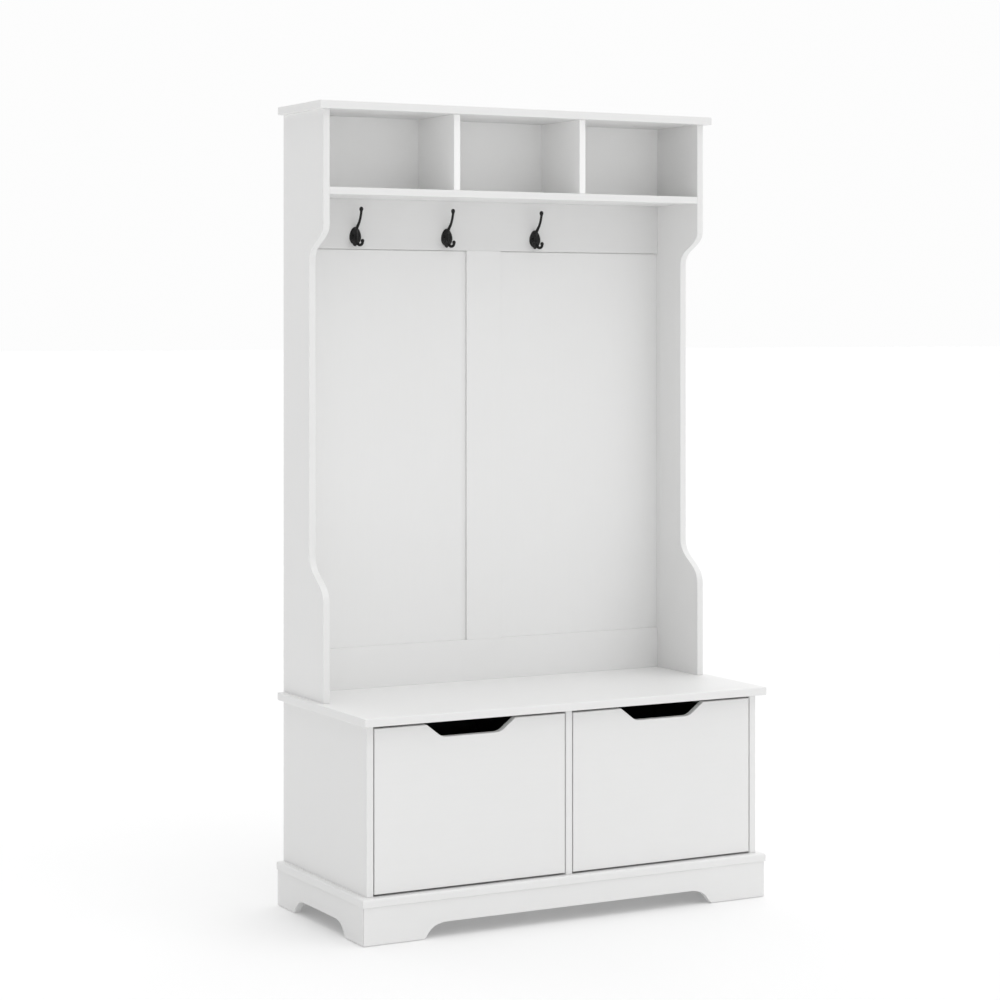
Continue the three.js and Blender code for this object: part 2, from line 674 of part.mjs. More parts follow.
export default hallTree;
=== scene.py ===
"""A white hall tree with hooks: the finished look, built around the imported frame.

A bench with two drawers stands on a bracket-foot plinth. Above it rise two S-cut sides with a framed
back, a row of black cast hooks, three open cubbies and a flat top. Each sub-assembly is a class that
builds its pieces around the frame's nodes and dresses them. Lengths are metres in the frame's own axes:
+Z is up and the front looks towards -Y.
"""

import logging
import math
from dataclasses import dataclass
from enum import Enum, StrEnum

import bmesh
import bpy
from mathutils import Matrix, Vector

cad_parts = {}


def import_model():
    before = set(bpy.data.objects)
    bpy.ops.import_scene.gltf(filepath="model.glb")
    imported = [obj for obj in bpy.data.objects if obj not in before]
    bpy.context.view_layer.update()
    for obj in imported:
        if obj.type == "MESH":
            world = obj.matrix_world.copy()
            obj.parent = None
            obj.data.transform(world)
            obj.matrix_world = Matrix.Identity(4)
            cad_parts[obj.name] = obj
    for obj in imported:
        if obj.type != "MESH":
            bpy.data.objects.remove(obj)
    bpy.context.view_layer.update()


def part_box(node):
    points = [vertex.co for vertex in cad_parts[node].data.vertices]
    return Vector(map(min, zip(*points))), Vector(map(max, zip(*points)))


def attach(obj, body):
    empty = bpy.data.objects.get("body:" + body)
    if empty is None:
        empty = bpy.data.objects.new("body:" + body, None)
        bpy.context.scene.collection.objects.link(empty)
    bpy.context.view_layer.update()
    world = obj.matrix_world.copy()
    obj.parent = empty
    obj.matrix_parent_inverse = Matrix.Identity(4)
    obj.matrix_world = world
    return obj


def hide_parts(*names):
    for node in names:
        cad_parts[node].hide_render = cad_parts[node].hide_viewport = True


MM = 0.001
LOG = logging.getLogger("hall_tree")
EDGE_ATTRIBUTE = "edge"
NOISE_ROUGHNESS = 0.55
NOISE_LOW, NOISE_HIGH = 0.3, 0.7  # the range that a noise texture keeps to in practice
PATTERN_OUTPUTS = ("Tone", "Gloss", "Height")

FRONT = Vector((0.0, -1.0, 0.0))
REAR = Vector((0.0, 1.0, 0.0))
LEFT = Vector((-1.0, 0.0, 0.0))
RIGHT = Vector((1.0, 0.0, 0.0))
UP = Vector((0.0, 0.0, 1.0))
DOWN = Vector((0.0, 0.0, -1.0))

Colour = tuple[float, float, float, float]


class Side(StrEnum):
    """The two sides, as seen from the front; each value is the word in the frame's names."""

    LEFT = "left"
    RIGHT = "right"


class Member(StrEnum):
    """The three members of a telescopic slide; each value is the word in the frame's names."""

    CABINET = "cabinet"
    MIDDLE = "middle"
    DRAWER = "drawer"


# ---------------------------------------------------------------- shader sheets
class Sheet:
    """A node tree with short calls for adding and joining nodes."""

    def __init__(self, tree: bpy.types.NodeTree) -> None:
        """Keeps the tree.

        Args:
            tree: a material's or a group's node tree.
        """
        self.tree = tree

    def node(self, kind: str, values: dict | None = None, **settings: object) -> bpy.types.Node:
        """Adds a node.

        Args:
            kind: the node's type name.
            values: constants for its input sockets, by socket name.
            settings: properties of the node itself.

        Returns:
            The new node.
        """
        made = self.tree.nodes.new(kind)
        for key, value in settings.items():
            setattr(made, key, value)
        for key, value in (values or {}).items():
            made.inputs[key].default_value = value
        return made

    def join(self, source: bpy.types.NodeSocket, target: bpy.types.NodeSocket) -> None:
        """Links an output socket to an input socket."""
        self.tree.links.new(source, target)

    def noise(self, vector: bpy.types.NodeSocket, scale: float, detail: float) -> bpy.types.NodeSocket:
        """Adds a noise texture and returns its value.

        Args:
            vector: where the noise is read.
            scale: cells per metre.
            detail: octaves.

        Returns:
            The noise's Fac socket.
        """
        settings = {"Scale": scale, "Detail": detail, "Roughness": NOISE_ROUGHNESS}
        made = self.node("ShaderNodeTexNoise", settings)
        self.join(vector, made.inputs["Vector"])
        return made.outputs["Fac"]

    def maths(self, operation: str, first: object, second: object) -> bpy.types.NodeSocket:
        """Adds a Math node.

        Args:
            operation: the node's operation name.
            first: a socket or a number.
            second: a socket or a number.

        Returns:
            The result's socket.
        """
        made = self.node("ShaderNodeMath", operation=operation)
        for slot, value in enumerate((first, second)):
            if isinstance(value, bpy.types.NodeSocket):
                self.join(value, made.inputs[slot])
            else:
                made.inputs[slot].default_value = value
        return made.outputs[0]

    def weighted(self, *parts: tuple) -> bpy.types.NodeSocket:
        """Adds two values up, each by its own weight.

        Args:
            parts: for each of the two, its socket and its weight, which is a socket or a number.

        Returns:
            The sum's socket.
        """
        first, second = (self.maths("MULTIPLY", value, weight) for value, weight in parts)
        return self.maths("ADD", first, second)

    def share(self, value: bpy.types.NodeSocket, near: float, far: float) -> bpy.types.NodeSocket:
        """Reads how far a value has come from one number to another.

        Args:
            value: the socket to read.
            near: the number that gives 0.
            far: the number that gives 1.

        Returns:
            The share's socket, which stays between 0 and 1.
        """
        made = self.node("ShaderNodeMapRange", {"From Min": near, "From Max": far})
        self.join(value, made.inputs["Value"])
        return made.outputs["Result"]

    def spread(self, value: bpy.types.NodeSocket) -> bpy.types.NodeSocket:
        """Stretches a noise's value to the whole range from 0 to 1."""
        return self.share(value, NOISE_LOW, NOISE_HIGH)

    def between(self, value: bpy.types.NodeSocket, low: float, high: float) -> bpy.types.NodeSocket:
        """Maps a value from 0 to 1 to the range from low to high.

        Args:
            value: the socket to read.
            low: what 0 becomes.
            high: what 1 becomes.

        Returns:
            The new value's socket.
        """
        made = self.node("ShaderNodeMapRange", {"To Min": low, "To Max": high})
        self.join(value, made.inputs["Value"])
        return made.outputs["Result"]

    def stretched(self, vector: bpy.types.NodeSocket, scale: tuple) -> bpy.types.NodeSocket:
        """Scales a vector by axis, which stretches what is read from it.

        Args:
            vector: the socket to scale.
            scale: the factor along each axis; a small one draws a pattern out that way.

        Returns:
            The scaled vector's socket.
        """
        made = self.node("ShaderNodeMapping", {"Scale": scale})
        self.join(vector, made.inputs["Vector"])
        return made.outputs["Vector"]

    def mixed(self, factor: bpy.types.NodeSocket, first: object, second: object) -> bpy.types.NodeSocket:
        """Mixes two colours.

        Args:
            factor: the mask between them.
            first: a socket or a colour, shown where the mask is 0.
            second: a socket or a colour, shown where the mask is 1.

        Returns:
            The mixed colour's socket.
        """
        made = self.node("ShaderNodeMix", data_type="RGBA")
        self.join(factor, made.inputs["Factor"])
        for name, value in (("A", first), ("B", second)):
            socket = next(s for s in made.inputs if s.name == name and s.type == "RGBA")
            if isinstance(value, bpy.types.NodeSocket):
                self.join(value, socket)
            else:
                socket.default_value = value
        return next(s for s in made.outputs if s.type == "RGBA")


class SurfaceGroups:
    """The shader node groups that several finishes share, each built once."""

    def __init__(self) -> None:
        """Builds every group."""
        self.paint_film = self._paint_film()
        self.edge_rub = self._edge_rub()
        self.cast_skin = self._cast_skin()
        self.drawn_metal = self._drawn_metal()
        self.board_fibre = self._board_fibre()

    @staticmethod
    def _start(name: str, inputs: tuple, outputs: tuple) -> tuple:
        """Starts a group.

        Args:
            name: the group's name.
            inputs: the names of its number inputs, besides Vector.
            outputs: the names of its number outputs.

        Returns:
            The group's tree, sheet, input node and output node.
        """
        tree = bpy.data.node_groups.new(name, "ShaderNodeTree")
        tree.interface.new_socket(name="Vector", in_out="INPUT", socket_type="NodeSocketVector")
        for way, names in (("INPUT", inputs), ("OUTPUT", outputs)):
            for key in names:
                tree.interface.new_socket(name=key, in_out=way, socket_type="NodeSocketFloat")
        sheet = Sheet(tree)
        return tree, sheet, sheet.node("NodeGroupInput"), sheet.node("NodeGroupOutput")

    @staticmethod
    def _end(sheet: Sheet, result: bpy.types.Node, *values: bpy.types.NodeSocket) -> None:
        """Gives a pattern group its tone, its gloss and its height, in that order."""
        for name, value in zip(PATTERN_OUTPUTS, values):
            sheet.join(value, result.inputs[name])

    def _paint_film(self) -> bpy.types.NodeTree:
        """Sprayed and rolled paint: broad tone, faint strokes along X and a fine orange peel.

        Returns:
            The group.
        """
        tree, sheet, given, result = self._start("paint_film", ("Stroke", "Peel"), PATTERN_OUTPUTS)
        vector = given.outputs["Vector"]
        broad = sheet.noise(vector, scale=3.5, detail=3.0)
        stroke = sheet.noise(sheet.stretched(vector, (0.05, 1.0, 1.0)), scale=240.0, detail=4.0)
        peel = sheet.noise(vector, scale=620.0, detail=2.0)
        tone = sheet.spread(sheet.weighted((broad, 0.65), (stroke, 0.35)))
        gloss = sheet.spread(sheet.weighted((broad, 0.5), (peel, 0.5)))
        height = sheet.weighted((stroke, given.outputs["Stroke"]), (peel, given.outputs["Peel"]))
        self._end(sheet, result, tone, gloss, height)
        return tree

    def _edge_rub(self) -> bpy.types.NodeTree:
        """Where a board's eased edges show through the film, broken up by noise.

        Returns:
            The group.
        """
        tree, sheet, given, result = self._start("edge_rub", ("Amount",), ("Mask",))
        edge = sheet.node("ShaderNodeAttribute", attribute_name=EDGE_ATTRIBUTE)
        noise = sheet.noise(given.outputs["Vector"], scale=55.0, detail=3.0)
        patches = sheet.between(sheet.spread(noise), low=0.35, high=1.0)
        mask = sheet.maths("MULTIPLY", edge.outputs["Fac"], patches)
        sheet.join(sheet.maths("MULTIPLY", mask, given.outputs["Amount"]), result.inputs["Mask"])
        return tree

    def _cast_skin(self) -> bpy.types.NodeTree:
        """Powder coat over a casting: a fine grain over a slow unevenness.

        Returns:
            The group.
        """
        tree, sheet, given, result = self._start("cast_skin", ("Grain", "Lumps"), PATTERN_OUTPUTS)
        vector = given.outputs["Vector"]
        grain = sheet.noise(vector, scale=2600.0, detail=3.0)
        lumps = sheet.noise(vector, scale=320.0, detail=3.0)
        height = sheet.weighted((grain, given.outputs["Grain"]), (lumps, given.outputs["Lumps"]))
        self._end(sheet, result, sheet.spread(lumps), sheet.spread(grain), height)
        return tree

    def _drawn_metal(self) -> bpy.types.NodeTree:
        """Zinc-plated strip: lines drawn along Y under a faint spangle.

        Returns:
            The group.
        """
        tree, sheet, given, result = self._start("drawn_metal", ("Lines",), PATTERN_OUTPUTS)
        vector = given.outputs["Vector"]
        lines = sheet.noise(sheet.stretched(vector, (1.0, 0.015, 1.0)), scale=1900.0, detail=4.0)
        cells = sheet.node("ShaderNodeTexVoronoi", {"Scale": 210.0})
        sheet.join(vector, cells.inputs["Vector"])
        spangle = sheet.node("ShaderNodeRGBToBW")
        sheet.join(cells.outputs["Color"], spangle.inputs["Color"])
        height = sheet.maths("MULTIPLY", lines, given.outputs["Lines"])
        self._end(sheet, result, spangle.outputs["Val"], sheet.spread(lines), height)
        return tree

    def _board_fibre(self) -> bpy.types.NodeTree:
        """Dyed fibreboard: short matted fibres and fine pores.

        Returns:
            The group.
        """
        tree, sheet, given, result = self._start("board_fibre", ("Pores",), PATTERN_OUTPUTS)
        vector = given.outputs["Vector"]
        fibres = sheet.noise(sheet.stretched(vector, (0.25, 1.0, 0.6)), scale=900.0, detail=5.0)
        patches = sheet.noise(vector, scale=28.0, detail=4.0)
        grain = sheet.noise(vector, scale=2400.0, detail=1.0)
        height = sheet.maths("ADD", fibres, sheet.maths("MULTIPLY", grain, given.outputs["Pores"]))
        self._end(sheet, result, sheet.spread(fibres), sheet.spread(patches), height)
        return tree


# ---------------------------------------------------------------- finishes
class Stroke(Enum):
    """The way the paint was laid on a board; each value turns the pattern's X to that axis."""

    ALONG_X = (0.0, 0.0, 0.0)
    ALONG_Y = (0.0, 0.0, -math.pi / 2)
    ALONG_Z = (0.0, math.pi / 2, 0.0)


@dataclass(frozen=True)
class Coat:
    """A surface made of one shared pattern group between two tones.

    Attributes:
        name: the material's name.
        pattern: the name of the group in SurfaceGroups.
        dials: that group's settings.
        light: the colour where the pattern's tone is high.
        dark: the colour where it is low.
        rubbed: the colour of the eased edges.
        roughness: the lowest and the highest roughness.
        metallic: 1 for bare metal.
        relief: how far the pattern's bumps stand, in metres.
        rub: how strongly the eased edges show.
        specular: how strongly the surface shines, 0.5 for plain plastic.
        turn: how the pattern is turned.
    """

    name: str
    pattern: str
    dials: dict[str, float]
    light: Colour
    dark: Colour
    rubbed: Colour
    roughness: tuple[float, float]
    relief: float
    metallic: float = 0.0
    rub: float = 0.0
    specular: float = 0.5
    turn: Stroke = Stroke.ALONG_X

    def build(self, groups: SurfaceGroups) -> bpy.types.Material:
        """Makes the material.

        Args:
            groups: the shared pattern groups.

        Returns:
            The new material.
        """
        material = bpy.data.materials.new(self.name)
        material.use_nodes = True
        sheet = Sheet(material.node_tree)
        sheet.tree.nodes.clear()
        place = sheet.node("ShaderNodeTexCoord")
        turned = sheet.node("ShaderNodeMapping", {"Rotation": self.turn.value})
        sheet.join(place.outputs["Object"], turned.inputs["Vector"])
        pattern = sheet.node("ShaderNodeGroup", node_tree=getattr(groups, self.pattern))
        for key, value in self.dials.items():
            pattern.inputs[key].default_value = value
        edge = sheet.node("ShaderNodeGroup", node_tree=groups.edge_rub)
        edge.inputs["Amount"].default_value = self.rub
        for group in (pattern, edge):
            sheet.join(turned.outputs["Vector"], group.inputs["Vector"])
        surface = sheet.mixed(pattern.outputs["Tone"], self.dark, self.light)
        colour = sheet.mixed(edge.outputs["Mask"], surface, self.rubbed)
        rough = sheet.between(pattern.outputs["Gloss"], *self.roughness)
        bump = sheet.node("ShaderNodeBump", {"Strength": 1.0, "Distance": self.relief})
        sheet.join(pattern.outputs["Height"], bump.inputs["Height"])
        plain = {"Metallic": self.metallic, "Specular IOR Level": self.specular}
        shader = sheet.node("ShaderNodeBsdfPrincipled", plain)
        sheet.join(colour, shader.inputs["Base Color"])
        sheet.join(rough, shader.inputs["Roughness"])
        sheet.join(bump.outputs["Normal"], shader.inputs["Normal"])
        output = sheet.node("ShaderNodeOutputMaterial")
        sheet.join(shader.outputs["BSDF"], output.inputs["Surface"])
        return material


def grey(level: float, warmth: float = 0.0) -> Colour:
    """Mixes a grey.

    Args:
        level: its linear brightness.
        warmth: the share of blue that is taken from it; below zero, blue is added.

    Returns:
        The colour.
    """
    return (level, level, level * (1.0 - warmth), 1.0)


class Finishes:
    """Every finish of the hall tree, built once.

    Besides the usual white paint, two copies of it stand at other levels, the share of light that they
    give back: a lighter one on the cubby boards paints light into the cubbies, and a darker one on the
    hook rail paints the shade under the shelf.
    """

    PAINT_LEVEL = 0.83
    # The cubby level is lighter than the paint and paints light into the cubbies; the rail level is darker
    # and paints the shade under the shelf.
    CUBBY_LEVEL = 0.95
    RAIL_LEVEL = 0.775
    PAINT_DRIFT = 0.008  # how far the level of one coat drifts either way
    EDGE_LIFT = 0.015  # how much lighter the thin paint of an eased edge is

    def __init__(self) -> None:
        """Builds the groups and the materials."""
        groups = SurfaceGroups()
        self.paint = {
            stroke: self._paint(groups, stroke.name.lower(), stroke, self.PAINT_LEVEL) for stroke in Stroke
        }
        # A lit copy of the paint for the cubbies, which paints light, and a shaded copy for the hook rail,
        # which paints shade.
        self.cubby_paint = self._paint(groups, "cubby", Stroke.ALONG_X, self.CUBBY_LEVEL)
        self.rail_paint = self._paint(groups, "rail", Stroke.ALONG_X, self.RAIL_LEVEL)
        # The drawer boxes get a black finish, a guess, which paints the shade seen through the finger
        # cut-outs.
        self.lining = Coat(
            name="black_lining",
            pattern="board_fibre",
            dials={"Pores": 0.5},
            light=grey(0.062),
            dark=grey(0.05),
            rubbed=grey(0.08),
            roughness=(0.6, 0.78),
            relief=0.05 * MM,
            rub=0.4,
        ).build(groups)
        self.iron = Coat(
            name="black_iron",
            pattern="cast_skin",
            dials={"Grain": 0.6, "Lumps": 0.4},
            light=grey(0.011),
            dark=grey(0.006),
            rubbed=grey(0.02),
            roughness=(0.4, 0.55),
            relief=0.05 * MM,
            specular=0.28,
        ).build(groups)
        self.steel = Coat(
            name="zinc_plated_steel",
            pattern="drawn_metal",
            dials={"Lines": 0.7},
            light=grey(0.62, warmth=-0.01),
            dark=grey(0.5, warmth=-0.015),
            rubbed=grey(0.72),
            roughness=(0.24, 0.4),
            relief=0.01 * MM,
            metallic=1.0,
            rub=0.5,
        ).build(groups)
        self.nylon = Coat(
            name="white_nylon",
            pattern="cast_skin",
            dials={"Grain": 0.6, "Lumps": 0.4},
            light=grey(0.78),
            dark=grey(0.72),
            rubbed=grey(0.8),
            roughness=(0.45, 0.6),
            relief=0.03 * MM,
            rub=0.4,
        ).build(groups)

    def _paint(self, groups: SurfaceGroups, name: str, stroke: Stroke, level: float) -> bpy.types.Material:
        """Makes one batch of the white paint.

        Args:
            groups: the shared pattern groups.
            name: what the batch is called.
            stroke: the way it was laid on.
            level: how much light it gives back.

        Returns:
            The batch's material.
        """
        return Coat(
            name=f"white_paint_{name}",
            pattern="paint_film",
            dials={"Stroke": 0.35, "Peel": 0.65},
            light=grey(level + self.PAINT_DRIFT, warmth=0.004),
            dark=grey(level - self.PAINT_DRIFT, warmth=0.006),
            rubbed=grey(level + self.EDGE_LIFT, warmth=0.004),
            roughness=(0.38, 0.5),
            relief=0.035 * MM,
            rub=0.6,
            turn=stroke,
        ).build(groups)


# ---------------------------------------------------------------- mesh work
@dataclass(frozen=True)
class Easing:
    """How a maker takes the sharpness off a piece's edges.

    Attributes:
        shown: radius of the edges that face the user.
        joined: radius of the others, which mostly meet another piece.
        segments: flats in a shown edge's round.
    """

    shown: float = 1.3 * MM
    joined: float = 0.15 * MM
    segments: int = 4


SHARP = math.radians(28.0)  # an edge bent further than this is eased
STILL_SHARP = math.radians(50.0)  # an edge left this sharp by the shown rounds gets the small one
COPLANAR = math.radians(0.4)  # triangles bent less than this are one face
CREASE = math.radians(35.0)  # an edge of a casting or a screw bent further than this looks sharp
FACING = 0.2  # a face looks some way when its normal's share of that way is more than this
SAME_POINT = 0.002 * MM
BALL_SIDES, BALL_RINGS = 40, 24


def bevel(mesh: bmesh.types.BMesh, edges: list, radius: float, segments: int) -> None:
    """Rounds edges and marks the new faces in the attribute that the finishes read.

    Args:
        mesh: the mesh to change.
        edges: the edges to round.
        radius: the round's width.
        segments: how many flats it has.
    """
    layer = mesh.loops.layers.float.get(EDGE_ATTRIBUTE) or mesh.loops.layers.float.new(EDGE_ATTRIBUTE)
    made = bmesh.ops.bevel(
        mesh,
        geom=edges,
        offset=radius,
        offset_type="OFFSET",
        segments=segments,
        profile=0.5,
        affect="EDGES",
        clamp_overlap=True,
        material=-1,
    )
    for face in made["faces"]:
        for loop in face.loops:
            loop[layer] = 1.0


def sharp_edges(mesh: bmesh.types.BMesh, angle: float) -> list:
    """The edges whose two faces meet at more than an angle."""
    return [edge for edge in mesh.edges if edge.is_manifold and edge.calc_face_angle(0.0) > angle]


def ease(mesh: bmesh.types.BMesh, exposed: tuple, easing: Easing) -> None:
    """Rounds a board's shown edges well and its other edges a little.

    Args:
        mesh: the mesh to change.
        exposed: directions that the user sees; edges of the faces that look there are shown.
        easing: the radii.
    """
    mesh.normal_update()
    shown = [
        edge
        for edge in sharp_edges(mesh, SHARP)
        if any(face.normal.dot(way) > FACING for face in edge.link_faces for way in exposed)
    ]
    if shown:
        bevel(mesh, shown, easing.shown, easing.segments)
        mesh.normal_update()
    rest = sharp_edges(mesh, STILL_SHARP)
    if rest:
        bevel(mesh, rest, easing.joined, 1)


def merged_copy(node: str) -> bmesh.types.BMesh:
    """Copies a frame node's solid, with its loose triangles joined into whole faces.

    Args:
        node: the frame's node.

    Returns:
        The copy.
    """
    mesh = bmesh.new()
    mesh.from_mesh(bpy.data.objects[node].data)
    bmesh.ops.remove_doubles(mesh, verts=mesh.verts, dist=SAME_POINT)
    bmesh.ops.dissolve_limit(
        mesh, angle_limit=COPLANAR, use_dissolve_boundaries=False, verts=mesh.verts, edges=mesh.edges
    )
    mesh.normal_update()
    return mesh


def block(low: Vector, high: Vector) -> bmesh.types.BMesh:
    """Makes a plain box as the start of a piece.

    Args:
        low: its lowest corner.
        high: its highest corner.

    Returns:
        The box's mesh.
    """
    mesh = bmesh.new()
    bmesh.ops.create_cube(mesh, size=1.0)
    bmesh.ops.scale(mesh, vec=high - low, verts=mesh.verts)
    bmesh.ops.translate(mesh, vec=(low + high) / 2, verts=mesh.verts)
    return mesh


def to_object(mesh: bmesh.types.BMesh, name: str) -> bpy.types.Object:
    """Makes a smooth-shaded object from a mesh, with the flat faces kept flat.

    Args:
        mesh: the finished mesh, which is freed.
        name: the object's name.

    Returns:
        The new object, linked to the scene.
    """
    data = bpy.data.meshes.new(name)
    mesh.to_mesh(data)
    mesh.free()
    data.polygons.foreach_set("use_smooth", [True] * len(data.polygons))
    made = bpy.data.objects.new(name, data)
    bpy.context.scene.collection.objects.link(made)
    made.modifiers.new("flat_faces", "WEIGHTED_NORMAL").keep_sharp = True
    return made


def plain_object(mesh: bmesh.types.BMesh, name: str) -> bpy.types.Object:
    """Makes an object without modifiers, to be worked on further.

    Args:
        mesh: its mesh, which is freed.
        name: its name.

    Returns:
        The new object.
    """
    made = to_object(mesh, name)
    made.modifiers.clear()
    return made


def apply_modifiers(made: bpy.types.Object) -> None:
    """Gives an object the mesh that its modifiers make, and takes them off.

    Args:
        made: the object.
    """
    depsgraph = bpy.context.evaluated_depsgraph_get()
    data = bpy.data.meshes.new_from_object(made.evaluated_get(depsgraph))
    made.modifiers.clear()
    made.data = data


def cut_away(made: bpy.types.Object, cutters: list) -> None:
    """Cuts other objects out of one and removes them.

    Args:
        made: the object to cut.
        cutters: the objects whose volume is taken away.
    """
    for cutter in cutters:
        cut = made.modifiers.new("cut", "BOOLEAN")
        cut.operation = "DIFFERENCE"
        cut.object = cutter
    apply_modifiers(made)
    for cutter in cutters:
        bpy.data.objects.remove(cutter)


# ---------------------------------------------------------------- sub-assemblies
@dataclass
class SubAssembly:
    """A group of pieces that share a body of the frame.

    Attributes:
        body: the body that the pieces ride on.
        finishes: the materials.
    """

    body: str
    finishes: Finishes

    def dress(self, made: bpy.types.Object, material: bpy.types.Material, slot: str, node: str) -> None:
        """Gives a piece its finish and its place in the frame.

        Args:
            made: the piece.
            material: its finish.
            slot: not used.
            node: the frame's node that it stands for.
        """
        made.data.materials.clear()
        made.data.materials.append(material)
        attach(made, self.body)
        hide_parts(node)
        LOG.info("%s: %d faces", made.name, len(made.data.polygons))

    def eased(self, node: str, ending: str, exposed: tuple, easing: Easing) -> bpy.types.Object:
        """Builds one piece from its node, with its edges eased.

        Args:
            node: the frame's node.
            ending: what the piece's name says after the node's.
            exposed: the directions that the user sees it from.
            easing: its edge radii.

        Returns:
            The piece, not yet dressed.
        """
        mesh = merged_copy(node)
        ease(mesh, exposed, easing)
        return to_object(mesh, f"{node}_{ending}")

    def board(
        self,
        node: str,
        stroke: Stroke,
        exposed: tuple,
        easing: Easing,
        paint: bpy.types.Material | None = None,
    ) -> None:
        """Builds one painted board.

        Args:
            node: the frame's node.
            stroke: the way the paint runs.
            exposed: the directions that the user sees it from.
            easing: its edge radii.
            paint: for all but its rear, a copy of the usual paint at another level, which paints light
                where it is lighter and shade where it is darker, when it isn't the usual one.
        """
        made = self.eased(node, "painted", exposed, easing)
        usual = self.finishes.paint[stroke]
        self.dress(made, paint or usual, "paint", node)
        # The painted light and shade go on every face but the rear, which keeps the usual paint.
        if paint:
            made.data.materials.append(usual)
            for polygon in made.data.polygons:
                polygon.material_index = int(polygon.normal.dot(REAR) > FACING)

    def steel_piece(self, node: str, ending: str, easing: Easing) -> None:
        """Builds one plated steel piece.

        Args:
            node: the frame's node.
            ending: what the piece's name says after the node's.
            easing: its edge radii.
        """
        self.dress(self.eased(node, ending, (), easing), self.finishes.steel, "slide_steel", node)


@dataclass
class UpperPart(SubAssembly):
    """The top, the S-cut sides, the cubbies and the framed back.

    Attributes:
        edge: edges of the boards that stand out.
        frame_edge: the crisp edges of the framed back.
        stile_edge: edges of the centre stile.
        bracket_edge: edges of the folded wall bracket.
    """

    edge: Easing = Easing(shown=1.5 * MM)
    frame_edge: Easing = Easing(shown=0.35 * MM, joined=0.12 * MM, segments=2)
    stile_edge: Easing = Easing(shown=0.9 * MM, joined=0.12 * MM)
    bracket_edge: Easing = Easing(joined=0.4 * MM)

    def build(self) -> None:
        """Builds every board of the upper part and the wall bracket."""
        # The cubby boards get the lighter copy of the paint, which paints light into the cubbies; the hook
        # rail gets the darker copy, which paints the shade under the shelf.
        cubby_paint = self.finishes.cubby_paint
        self.board("top_panel", Stroke.ALONG_X, (FRONT, LEFT, RIGHT, REAR), self.edge)
        for side in Side:
            self.board(f"upper_side_{side}", Stroke.ALONG_Z, (FRONT, REAR), self.edge)
            self.board(f"cubby_divider_{side}", Stroke.ALONG_Z, (FRONT,), self.edge, cubby_paint)
            self.board(f"back_panel_{side}", Stroke.ALONG_Z, (), self.frame_edge)
        self.board("cubby_shelf", Stroke.ALONG_X, (FRONT,), self.edge)
        self.board("cubby_back", Stroke.ALONG_X, (), self.frame_edge, cubby_paint)
        self.board("hook_rail", Stroke.ALONG_X, (FRONT,), self.frame_edge, self.finishes.rail_paint)
        self.board("lower_rail", Stroke.ALONG_X, (FRONT,), self.frame_edge)
        self.board("centre_stile", Stroke.ALONG_Z, (FRONT,), self.stile_edge)
        self.steel_piece("wall_bracket", "plated", self.bracket_edge)


@dataclass
class Base(SubAssembly):
    """The bench, its carcass, the plinth board, the skirt and the glides.

    Attributes:
        edge: edges of the carcass boards.
        bench_edge: edges of the bench top.
        skirt_edge: edges of the skirt, with its arches.
        glide_edge: edges of the moulded glides.
        plinth_round: radius of the plinth board's upper edge.
        plinth_flats: flats in that round.
        plinth_arris: radius of its other edges.
        arris_flats: flats in those.
    """

    edge: Easing = Easing(shown=1.5 * MM)
    bench_edge: Easing = Easing(shown=2.0 * MM)
    skirt_edge: Easing = Easing(shown=0.8 * MM)
    glide_edge: Easing = Easing(shown=0.6 * MM, joined=0.2 * MM)
    plinth_round: float = 5.0 * MM
    plinth_flats: int = 8
    plinth_arris: float = 0.9 * MM
    arris_flats: int = 2

    def build(self) -> None:
        """Builds every board of the base and its glides."""
        self.board("bench_top", Stroke.ALONG_X, (FRONT, LEFT, RIGHT, REAR), self.bench_edge)
        for side in Side:
            self.board(f"base_side_{side}", Stroke.ALONG_Z, (FRONT, REAR), self.edge)
            self.board(f"skirt_{side}", Stroke.ALONG_Y, (DOWN, LEFT, RIGHT), self.skirt_edge)
        self.board("base_divider", Stroke.ALONG_Z, (FRONT,), self.edge)
        self.board("skirt_front", Stroke.ALONG_X, (DOWN, FRONT), self.skirt_edge)
        self.board("skirt_back", Stroke.ALONG_X, (DOWN,), self.edge)
        self.board("base_back", Stroke.ALONG_X, (), self.edge)
        self._plinth_board()
        for place in ("front_left", "front_right", "rear_left", "rear_right"):
            node = f"glide_{place}"
            made = self.eased(node, "moulded", (DOWN,), self.glide_edge)
            self.dress(made, self.finishes.nylon, "nylon", node)

    def _plinth_board(self) -> None:
        """Builds the plinth board with its round upper edge on three sides."""
        low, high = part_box("plinth_board")
        mesh = block(low, high)
        middle = (low + high) / 2
        upper = [
            edge
            for edge in mesh.edges
            if all(v.co.z > middle.z for v in edge.verts) and any(v.co.y < middle.y for v in edge.verts)
        ]
        bevel(mesh, upper, self.plinth_round, self.plinth_flats)
        mesh.normal_update()
        bevel(mesh, sharp_edges(mesh, STILL_SHARP), self.plinth_arris, self.arris_flats)
        made = to_object(mesh, "plinth_board_painted")
        self.dress(made, self.finishes.paint[Stroke.ALONG_X], "paint", "plinth_board")


